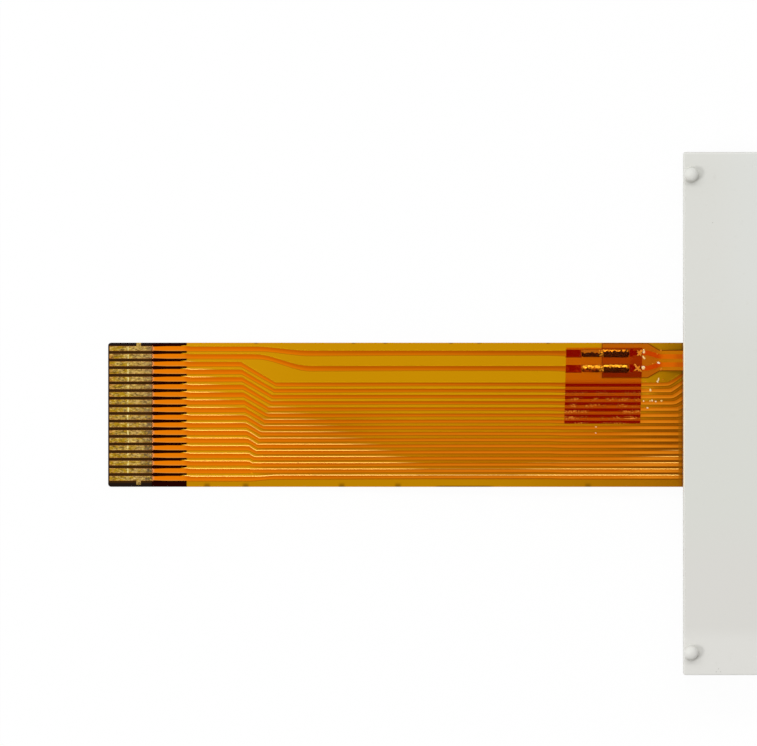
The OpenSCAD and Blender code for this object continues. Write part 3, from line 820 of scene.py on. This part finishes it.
film_lift = 0.03
window_lap = 0.07
inside_x = wall_x + lip_wall - 0.1
solder_low, solder_high = map(millimetres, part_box("solder_joint_1"))
head_x = millimetres(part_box("led_flex_film")[0]).x
pads_y = 2.4
pads_from, pads_to = solder_low.x - 4, head_x + 0.5
pad_gap = 0.03
bend_start, bend_end = -27, inside_x - 0.05
coarse, medium, fine = 1, 0.25, 0.1
ridges = top_of("flex_copper", "film_ridges")
cut_across([window_x + window_lap], clear_inner=True)
cut_across([inside_x], clear_outer=True)
cut_across([window_x + count * coarse for count in range(1, 36)])
cut_across([stiffener_x + count * fine for count in range(-6, 16)])
cut_across([stiffener_x + 1.6 + count * medium for count in range(24)])
cut_across([bend_start + count * fine for count in range(24)])
pick_faces(ridges, lambda face: face.center.y > pads_y and pads_from < face.center.x < pads_to)
cut_at(solder_low.x - pad_gap, clear_outer=True)
end_cuts()
round_bends(ridges, bend_start + 0.05, bend_end, 14)
stretch_step(ridges)
round_bends(ridges, stiffener_x + 1.7, stiffener_x + 7.2, 2)
narrow(ridges, ridge_draw)
raise_ridges(ridges, film_lift, ridge_height)
hand_over(ridges, "film_ridges", "amber_film")

under_lift = -0.05
under_rise = -0.004
under_gap = 0.02
under_ridges = top_of("flex_copper", "under_ridges")
cut_across([stiffener_x + under_gap], clear_inner=True)
cut_across([inside_x], clear_outer=True)
end_cuts()
raise_ridges(under_ridges, under_lift, lambda point: under_rise, inwards=1)
hand_over(under_ridges, "under_ridges", "amber_film")


# Contacts: the bared ends of the traces, plated with gold that wraps their edges.
# The connector has wiped a pale mark across each. The plating is scratched before the mark and
# stained beyond it, and the lead beside the last contact stops short of the flex's edge.
contact_low = millimetres(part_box("contact_plating")[0])
lead_end = 0.05
lead_short = 0.13
gold_wrap = 0.024
gold_skin = 0.006
contacts = top_of("contact_plating", "gold_contacts")
end_edit()
for vertex in contacts.data.vertices:
    if vertex.co.y < contact_low.y + lead_end:
        vertex.co.y += lead_short
draw_in(contacts, gold_wrap)
for reach, sink in ((0.009, 0.003), (0.009, 0.009), (0.005, 0.014)):
    flare(contacts, reach, lambda point: sink, 0)
apply_modifier(contacts, "SOLIDIFY", thickness=gold_skin, offset=-1)
to_metres(contacts)
wipe_x = -61.35
gold = Finish("worn_gold", {"Specular IOR Level": 0.3})
x, y = gold.plan()
scratches = gold.cloud(0.07, 4, (2.2, 0.6, 1))
scratched = gold.ramp(scratches, 0.3, 0.66)
blots = gold.cloud(0.15, 3, (1.5, 0.8, 1))
patches = gold.cloud(0.4)
worn_tips = gold.ramp(x, -62, -62.5) * gold.ramp(patches, 0.42, 0.6)
olive = gold.layers(
    shade(104, 80, 6),
    (scratched, shade(206, 168, 84)),
    (worn_tips * 0.6, shade(196, 126, 36)),
)
tan = gold.layers(
    shade(130, 100, 38),
    (scratched, shade(210, 172, 98)),
    (gold.ramp(x, -60.5, -59.9) * 0.8, shade(160, 126, 76)),
)
bare_share = 0.9 - gold.ramp(x, wipe_x, wipe_x + 0.4) * (0.2 + 0.45 * gold.ramp(y, -1, 2))
bare = gold.ramp(gold.cloud(0.2, 3, (1.5, 0.8, 1)), 0.47, 0.55)
wiped_x = x + (gold.cloud(0.6) - 0.5) * 0.14
streak = gold.around(wiped_x, wipe_x, 0.03, 0.02) * gold.ramp(gold.cloud(0.16), 0.4, 0.52)
stain = gold.ramp(x, -60.7, -60) * gold.ramp(y, 6, -3) * gold.ramp(gold.cloud(0.14, 4), 0.42, 0.54)
gold.colour(gold.layers(
    olive,
    (gold.ramp(x + (patches - 0.5) * 0.8, wipe_x - 0.1, wipe_x + 0.4), tan),
    (bare * bare_share, shade(172, 132, 0)),
    (gold.ramp(blots, 0.56, 0.68) * 0.6, shade(240, 208, 104)),
    (gold.ramp(blots, 0.46, 0.34) * 0.75, shade(92, 66, 6)),
    (gold.around(wiped_x, wipe_x, 0.1, 0.05) * 0.25, shade(226, 194, 100)),
    (streak, shade(255, 238, 160)),
    (stain * 0.7, shade(60, 42, 18)),
    (gold.ramp(x, window_x - 0.04, window_x + 0.02) * 0.7, shade(222, 160, 110)),
))
gold.feed(gold.shader, {"Roughness": 0.3 + scratches * 0.3, "Metallic": 0.75 - stain * 0.6})
gold.bump(scratches, 0.004, 0.5)
contacts.data.materials.append(gold.material)
hand_over(contacts, "gold_contacts", "gold", "contact_plating")


# Backlight tail: a narrow flex of its own that comes out of the housing and ends in a square head.
# It is the same amber film over two traces, die cut, with painted shade along its edge, and it lies on the
# main flex.
tail_gloss = {"Roughness": 0.4, "Specular IOR Level": 0.01}
tail_film = Finish("amber_tail_film", tail_gloss)
x, y = tail_film.plan()
tone = tail_film.blend(tail_film.ramp(x, -26.9, -26.2), shade(184, 94, 5), shade(198, 114, 2))
taped = tail_film.layers(
    shade(172, 78, 2),
    (tail_film.ramp(x, -28.6, -28.3), shade(160, 58, 2)),
    (tail_film.ramp(y, 2.78, 2.66), shade(136, 42, 0)),
)
tail_film.colour(tail_film.blend(under_tape(tail_film), tone, taped))
dress(tail_film, "led_flex_film")
# Painted shade: a dark band along the edge of the tail's top.
edge_shade = Finish("painted_edge_shade", tail_gloss)
edge_shade.colour(edge_shade.blend(edge_shade.cloud(0.15), shade(120, 56, 2), shade(140, 72, 4)))
cover_z = film_high.z + 0.06
edge_shade_width = 0.05
cover = copy_of("led_flex_coverlay", "tail_cover")
cover.data.materials.append(tail_film.material)
cover.data.materials.append(edge_shade.material)
start_edit()
select_whole()
bpy.ops.mesh.dissolve_limited(angle_limit=math.radians(0.03))
pick_faces(cover, lambda face: face.normal.z > 0.5 and face.center.z > cover_z)
bpy.ops.mesh.inset(thickness=edge_shade_width)
bpy.ops.mesh.select_all(action="INVERT")
end_edit()
for face in cover.data.polygons:
    face.material_index = 1 if face.select else 0
to_metres(cover)
hand_over(cover, "tail_cover", "amber_film", "led_flex_coverlay")

tail_lift = 0.03
tail_ridge = 0.006
tail_ridges = top_of("led_flex_copper", "tail_ridges")
cut_across([solder_high.x + pad_gap], clear_inner=True)
cut_across([inside_x], clear_outer=True)
end_cuts()
tail_trace = Finish("film_over_tail_traces", tail_gloss)
x = tail_trace.axis("X")
tail_trace.colour(tail_trace.layers(
    shade(200, 66, 0),
    (tail_trace.ramp(x, -26.7, -26.2), shade(218, 101, 0)),
    (tail_trace.ramp(x, -25.7, -25.3), shade(200, 90, 1)),
    (under_tape(tail_trace), taped_copper),
))
raise_ridges(tail_ridges, tail_lift, lambda point: tail_ridge)
tail_ridges.data.materials[0] = tail_trace.material
tail_ridges.data.materials[1] = tail_film.material
hand_over(tail_ridges, "tail_ridges", "amber_film")


# Solder joints: two drops of tin that bridge the tail's pads and the main flex's pads.
# Each has a step where the tail's head ends, a bright upper flank, and flux on the rest, painted dark lower
# down as shade.
tail_rise = 0.08
lit_from, lit_to = 0.1, 0.86
lit_slope = 0.27
solder = Finish("tin_solder", {"Specular IOR Level": 0.1})
x, y = solder.plan()
ragged = solder.attribute("flank") + (solder.cloud(0.16, 4) - 0.5) * 1.1
bright_to = solder.attribute("bright")
at_step = solder.within(x, head_x - 0.16, head_x + 0.1, 0.06)
glitter = at_step * solder.ramp(solder.cloud(0.07), 0.46, 0.54)
# Below the bright flank the drop is flux; lower down, painted shade turns it dark.
flux = solder.ramp(ragged - bright_to, 0, 0.06) * (1 - glitter)
painted_shade_share = solder.ramp(ragged - solder.attribute("shade_from"), 0, 0.04)
faded = solder.ramp(x, head_x - 0.1, head_x - 0.5) * solder.ramp(y, 3.5, 3.4)
flux_and_painted_shade = solder.layers(
    shade(40, 6, 0),
    (solder.ramp(solder.cloud(0.06), 0.6, 0.68) * 0.6, shade(140, 84, 50)),
    (faded * solder.ramp(solder.cloud(0.2, 3), 0.4, 0.56), shade(150, 60, 10)),
)
skin = solder.blend(painted_shade_share, shade(190, 118, 36), flux_and_painted_shade)
tin = solder.blend(solder.ramp(bright_to, 0.2, 0.3) + glitter, shade(240, 168, 76), shade(250, 200, 100))
solder.colour(solder.blend(flux, tin, skin))
solder.feed(solder.shader, {"Metallic": 1 - flux, "Roughness": 0.25 + flux * 0.3})
solder.bump(solder.cloud(0.08, 3), 0.01, 0.4)


def drop_height(across):
    """Height of a drop's skin, 0 to 1, from its lower side, -1, to its upper side, 1."""
    if across > lit_to:
        shoulder = 1 - lit_slope * (lit_to - lit_from)
        return shoulder * math.sqrt(1 - ((across - lit_to) / (1 - lit_to)) ** 2)
    if across > lit_from:
        return 1 - lit_slope * (across - lit_from)
    return math.sqrt(1 - (max(-0.5 - across, 0) / 0.5) ** 2)


def solder_drop(node, name, seed, left, right):
    """One drop; left and right give where its tin stops being bright and where its flux starts to be
    painted dark as shade.
    """
    low, high = map(millimetres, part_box(node))
    r = (high.y - low.y) / 2
    stretch = high.x - low.x - 2 * r
    ring_step = 0.05
    middle = Vector((low.x + r, (low.y + high.y) / 2, high.z - r))
    bpy.ops.mesh.primitive_uv_sphere_add(
        segments=40, ring_count=20, radius=r, location=middle, rotation=(0, math.pi / 2, 0)
    )
    drop = bpy.context.object
    bpy.ops.object.transform_apply()
    pick_faces(drop, lambda face: face.center.x > middle.x)
    bpy.ops.transform.translate(value=(stretch, 0, 0))
    cut_across([middle.x + ring_step * count for count in range(1, int(stretch / ring_step))])
    end_edit()
    side = drop.data.attributes.new("flank", "FLOAT", "POINT")
    bright = drop.data.attributes.new("bright", "FLOAT", "POINT")
    shade_from = drop.data.attributes.new("shade_from", "FLOAT", "POINT")
    for vertex in drop.data.vertices:
        point = vertex.co
        before_step = point.x < head_x
        across = max(min((point.y - middle.y) / r, 1), -1)
        side.data[vertex.index].value = 0.5 - across / 2
        bright.data[vertex.index].value, shade_from.data[vertex.index].value = left if before_step else right
        lumps = noise.noise(Vector((point.x * 2.4, point.y * 2, seed)))
        pits = noise.noise(Vector((point.x * 11, point.y * 7, point.z * 7 + seed)))
        waist = math.exp(-(((point.x - head_x) / 0.07) ** 2))
        share = 0.9 + 0.1 * lumps + 0.09 * pits - 0.25 * waist - (0.08 if before_step else 0)
        seat_z = low.z if before_step else low.z + tail_rise
        upright = max(point.z - middle.z, 0) / math.sqrt(max(r * r - (point.y - middle.y) ** 2, 1e-6))
        crest = min(upright, 1) * drop_height(across) * (high.z - seat_z) * share
        point.x += 0.06 * noise.noise(Vector((point.y * 9, point.z * 9, seed + point.x)))
        point.y = middle.y - 0.02 + (point.y - middle.y) * share * 1.3
        point.z = seat_z + crest
    for face in drop.data.polygons:
        face.use_smooth = True
    drop.data.materials.append(solder.material)
    to_metres(drop)
    hand_over(drop, name, "solder", node)
    return drop


drops = [
    solder_drop("solder_joint_1", "solder_drop_1", 3, (-0.3, 0.4), (0.17, 0.19)),
    solder_drop("solder_joint_2", "solder_drop_2", 9, (0.34, 0.5), (0.34, 0.38)),
]


# Insulating tape: a patch of dark amber polyimide tape pressed over the two joints by hand.
# It drapes over the drops and the head, follows the traces below and holds small pockets of air, which show
# as pale painted glints.
def ground(x, y, trees):
    """The highest surface of some pieces at a place, in millimetres."""
    top = Vector((x / 1000, y / 1000, 0.01))
    hits = [tree.ray_cast(top, Vector((0, 0, -1)))[0] for tree in trees]
    return max(hit.z for hit in hits if hit) * 1000


graph = bpy.context.evaluated_depsgraph_get()
films = [frame["nodes"][node] for node in ("flex_coverlay", "flex_base_film")]
trees = [BVHTree.FromObject(piece, graph) for piece in (*films, ridges, cover, tail_ridges, *drops)]
line_y = -4.15
line_pitch = 0.405
tape_t = 0.05
tape_clear = 0.006
tape_swell = 0.006
tape_sweeps = 14
bpy.ops.mesh.primitive_grid_add(x_subdivisions=96, y_subdivisions=96, size=1)
tape = bpy.context.object
points = [vertex.co for vertex in tape.data.vertices]
for point in points:
    point.y = tape_low.y + (point.y + 0.5) * (tape_high.y - tape_low.y)
    along = tape_low.x + (point.x + 0.5) * (tape_high.x - tape_slant - tape_low.x)
    point.x = along + (point.y - tape_low.y) * tape_lean
    point.z = ground(point.x, point.y, trees) + tape_clear
floor = [point.z for point in points]
beside = [[] for point in points]
for edge in tape.data.edges:
    a, b = edge.vertices
    beside[a].append(b)
    beside[b].append(a)
for _ in range(tape_sweeps):
    eased = [sum(points[other].z for other in others) / len(others) for others in beside]
    for point, level, lowest in zip(points, eased, floor):
        point.z = max(level, lowest)
for point in points:
    point.z += tape_swell * max(0, noise.noise(Vector((point.x * 2.5, point.y * 4, 0.7))))
apply_modifier(tape, "SOLIDIFY", thickness=tape_t, offset=1)
bpy.ops.object.shade_smooth_by_angle(angle=math.radians(40))
amber_tape = Finish("amber_tape", {"Roughness": 0.18, "Specular IOR Level": 0.1})
x, y = amber_tape.plan()
line = amber_tape.node("Math", {"operation": "FRACT"}, {0: (y - line_y) / line_pitch})
# Painted glints: pale mottling between the traces where air is caught, and on a flaw in the tape.
air_pocket_glints = amber_tape.ramp(amber_tape.cloud(0.07, 3, (1.6, 0.9, 1)), 0.5, 0.6)
air_pocket_glints = air_pocket_glints * amber_tape.ramp(amber_tape.cloud(0.8), 0.38, 0.54) * amber_tape.ramp(y, 1.9, 0.8)
air_pocket_glints = air_pocket_glints * amber_tape.within(line, 0.25, 0.8, 0.14)
flaw_x, flaw_y = -28.52, -0.34
flaw = amber_tape.around(x, flaw_x, 0.4, 0.15) * amber_tape.around(y, flaw_y, 0.03, 0.03)
air_pocket_glints = air_pocket_glints + flaw * amber_tape.ramp(amber_tape.cloud(0.12), 0.25, 0.45)
amber_tape.colour(amber_tape.blend(air_pocket_glints, shade(130, 30, 0), shade(252, 152, 50)))
clear = amber_tape.node("BsdfTransparent", {}, {"Color": (1, 0.9, 0.62, 1)})
amber_tape.surface(0.05 + air_pocket_glints * 0.6, clear, amber_tape.plain)
amber_tape.bump(amber_tape.cloud(0.15, 3), 0.01, 0.5)
tape.data.materials.append(amber_tape.material)
to_metres(tape)
hand_over(tape, "draped_tape", "amber_tape", "insulating_tape")


# Flux residue: drops of resin that spat from the joints as they were soldered by hand, the pale ones
# painted near white as glints,
# and two amber stars of it where it crept out along the pads.
# Each drop is squashed, set hard on the film where it landed; a star has four ragged arms.
spat = [
    (-27.57, 4.06, 0.09, 0.13, 0.2), (-27.57, 3.67, 0.06, 0.14, 0.6), (-27.6, 2.99, 0.11, 0.12, 0),
    (-26.59, 3.32, 0.1, 0.06, -0.3), (-26.66, 2.08, 0.06, 0.08, 0), (-26.6, 2.24, 0.04, 0.12, -0.2),
    (-27.13, 1.53, 0.07, 0.09, 0.3), (-27.58, 0.82, 0.04, 0.06, 0.2), (-27.16, 0.82, 0.04, 0.05, 0),
    (-27.02, 0.85, 0.05, 0.07, 0.4), (-26.78, 0.79, 0.06, 0.05, 0), (-26.4, 0.83, 0.07, 0.06, 0.2),
    (-27.33, 0.37, 0.06, 0.05, 0), (-30.7, -0.88, 0.07, 0.03, 0), (-30.72, -1.28, 0.05, 0.03, 0),
]
dull = [
    (-26.44, 4.13, 0.06, 0.05, 0), (-26.42, 2.9, 0.05, 0.1, -0.5), (-26.3, 2.2, 0.03, 0.05, 0),
    (-25.7, 1.48, 0.05, 0.04, 0), (-27.46, 2.1, 0.05, 0.03, 0), (-26.69, 3.9, 0.04, 0.04, 0),
    (-26.98, 3.26, 0.04, 0.05, 0.3),
]
stars = [(-27.85, 3.96, 0.24), (-27.95, 2.96, 0.24)]
graph = bpy.context.evaluated_depsgraph_get()
trees.append(BVHTree.FromObject(tape, graph))


def spit(spot_x, spot_y, reach, finish):
    """One drop, a unit ball that the given way of reaching out turns into its shape."""
    bpy.ops.mesh.primitive_uv_sphere_add(segments=24, ring_count=10, radius=1)
    blob = bpy.context.object
    base = Vector((spot_x, spot_y, ground(spot_x, spot_y, trees)))
    for vertex in blob.data.vertices:
        vertex.co = base + reach(vertex.co)
    blob.data.materials.append(finish.material)
    return blob


drop_tall = 0.03
star_tall = 0.02


def drop_reach(count, half_x, half_y, turn):
    """Squashes a ball to a lumpy drop of the given half sizes, and turns it."""
    def reach(point):
        swell = 1 + 0.4 * noise.noise(point * 1.1 + Vector((count * 3.1, 0, 0)))
        shape = Vector((point.x * half_x, point.y * half_y, point.z * drop_tall)) * swell
        return Matrix.Rotation(turn, 3, "Z") @ shape
    return reach


def star_reach(count, r):
    """Flattens a ball to a star of about the given radius."""
    def reach(point):
        angle = math.atan2(point.y, point.x)
        arm = 0.36 + 0.64 * abs(math.cos(2 * angle + 1.5 + 0.3 * count)) ** 1.4
        arm = arm * (1 + 1.1 * noise.noise(Vector((point.x * 2.7, point.y * 2.7, count + 0.4))))
        return Vector((point.x * r * arm, point.y * r * arm, point.z * star_tall))
    return reach


# Painted glints: the pale drops are coloured near white.
glint_resin = Finish("flux_resin_glint", {"Roughness": 0.15, "Specular IOR Level": 0.3})
tint = glint_resin.blend(glint_resin.ramp(glint_resin.cloud(0.5), 0.4, 0.6), shade(255, 248, 224), shade(252, 212, 128))
glint_resin.colour(glint_resin.blend(glint_resin.ramp(glint_resin.cloud(0.06), 0.35, 0.6) * 0.5, tint, shade(236, 178, 100)))
amber_resin = Finish("amber_flux_resin", {"Roughness": 0.2, "Specular IOR Level": 0.1})
amber_resin.colour(amber_resin.blend(amber_resin.cloud(0.08, 3), shade(200, 92, 6), shade(246, 158, 40)))
residue = [
    spit(spot_x, spot_y, drop_reach(count, half_x, half_y, turn), finish)
    for spots, finish in ((spat, glint_resin), (dull, amber_resin))
    for count, (spot_x, spot_y, half_x, half_y, turn) in enumerate(spots)
]
for count, (star_x, star_y, star_r) in enumerate(stars):
    residue.append(spit(star_x, star_y, star_reach(count, star_r), amber_resin))
select_only(residue[0])
for blob in residue:
    blob.select_set(True)
bpy.ops.object.join()
flux_drops = bpy.context.object
bpy.ops.object.shade_smooth()
to_metres(flux_drops)
hand_over(flux_drops, "flux_residue", "seal_resin")


# Studio: a white table with the camera straight over the flex, and even white light from all sides.
# A long lamp above the flex and a small one at its left draw the gleam on the ridges, which their slopes'
# colour also paints in as a highlight,
# and the table glows towards the camera, so that it stays white.
table_size = 4
table_z = -0.00002
glow_share = 0.95
bpy.ops.object.select_all(action="DESELECT")
bpy.ops.mesh.primitive_plane_add(size=table_size, location=(0, 0, table_z))
table = bpy.context.object
table.name = "table"
white = Finish("white_table", {"Roughness": 0.9, "Base Color": shade(252, 252, 252)})
seen = 0
for ray in ("Camera", "Glossy", "Transmission"):
    seen = seen + white.node("LightPath", output="Is " + ray + " Ray")
glow = white.node("Emission", {}, {"Color": (1, 1, 1, 1), "Strength": 1})
white.surface(seen * glow_share, white.plain, glow)
table.data.materials.append(white.material)

view_mid = Vector((-44.94, 2.65, 0.9)) / 1000
view_width = 49.574 / 1000


def softbox(name, tilt, turn, size, share):
    """A lamp over the flex: tilted from upright, turned about Z, giving its share of the light."""
    distance = 0.4
    bpy.ops.object.light_add(type="AREA")
    lamp = bpy.context.object
    lamp.name = name
    lamp.data.shape = "RECTANGLE"
    lamp.data.size, lamp.data.size_y = size
    lamp.data.energy = share * math.pi ** 2 * distance ** 2 / math.cos(tilt)
    away = Vector((math.sin(tilt) * math.cos(turn), math.sin(tilt) * math.sin(turn), math.cos(tilt)))
    lamp.location = view_mid + away * distance
    lamp.rotation_euler = away.to_track_quat("Z", "Y").to_euler()
    lamp.visible_camera = False


softbox("upper_softbox", math.radians(30), math.radians(90), (0.5, 0.08), 0.25)
softbox("left_lamp", math.radians(32), math.radians(194), (0.08, 0.08), 0.2)
sky = bpy.data.worlds.new("studio")
bpy.context.scene.world = sky
sky.use_nodes = True
background = sky.node_tree.nodes["Background"].inputs
background["Color"].default_value = (1, 1, 1, 1)
background["Strength"].default_value = 0.6

bpy.ops.object.camera_add()
camera = bpy.context.object
camera.data.lens = 1600
camera.data.sensor_width = 36
camera.location = view_mid + Vector((0, 0, view_width * camera.data.lens / camera.data.sensor_width))
camera.data.clip_end = 10
bpy.context.scene.camera = camera
bpy.context.scene.view_settings.view_transform = "Standard"
